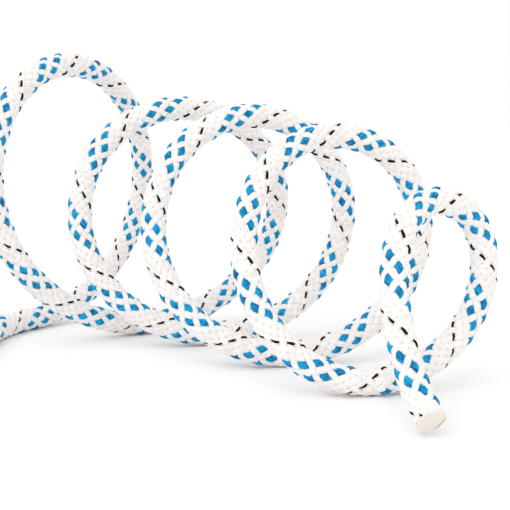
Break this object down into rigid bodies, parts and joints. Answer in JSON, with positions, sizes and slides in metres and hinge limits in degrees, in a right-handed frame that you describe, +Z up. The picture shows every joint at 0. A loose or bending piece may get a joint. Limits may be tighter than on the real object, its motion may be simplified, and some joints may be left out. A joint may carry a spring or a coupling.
{
  "type": "climbing rope",
  "caption": "Kernmantle climbing rope, a cut length with a braided sheath over stranded core, standing in open spring-like loops beside a flat coil",
  "frame": {"origin": "centre of the bounding box on the floor plane the rope rests on", "axes": "X along the longest extent, from the flat coil towards the front end; Y away from the viewer; Z up, the shortest extent"},
  "size_m": [0.3757, 0.2078, 0.1249],
  "materials": {
    "sheath": "braided polyamide yarn, white with blue marker carriers and one dark tracer thread",
    "core": "twisted polyamide strands, undyed white",
    "tape": "thin polypropylene tape",
    "melt": "polyamide melted by a hot blade, satin"
  },
  "bodies": {
    "root": {"sheath_loops": "sheath", "sheath_lead": "sheath", "sheath_coil": "sheath", "core_strand_1": "core", "core_strand_2": "core", "core_strand_3": "core", "core_strand_4": "core", "core_strand_5": "core", "core_strand_6": "core", "core_strand_7": "core", "marker_tape": "tape", "melted_end_front": "melt", "melted_end_coil": "melt"}
  },
  "joints": []
}
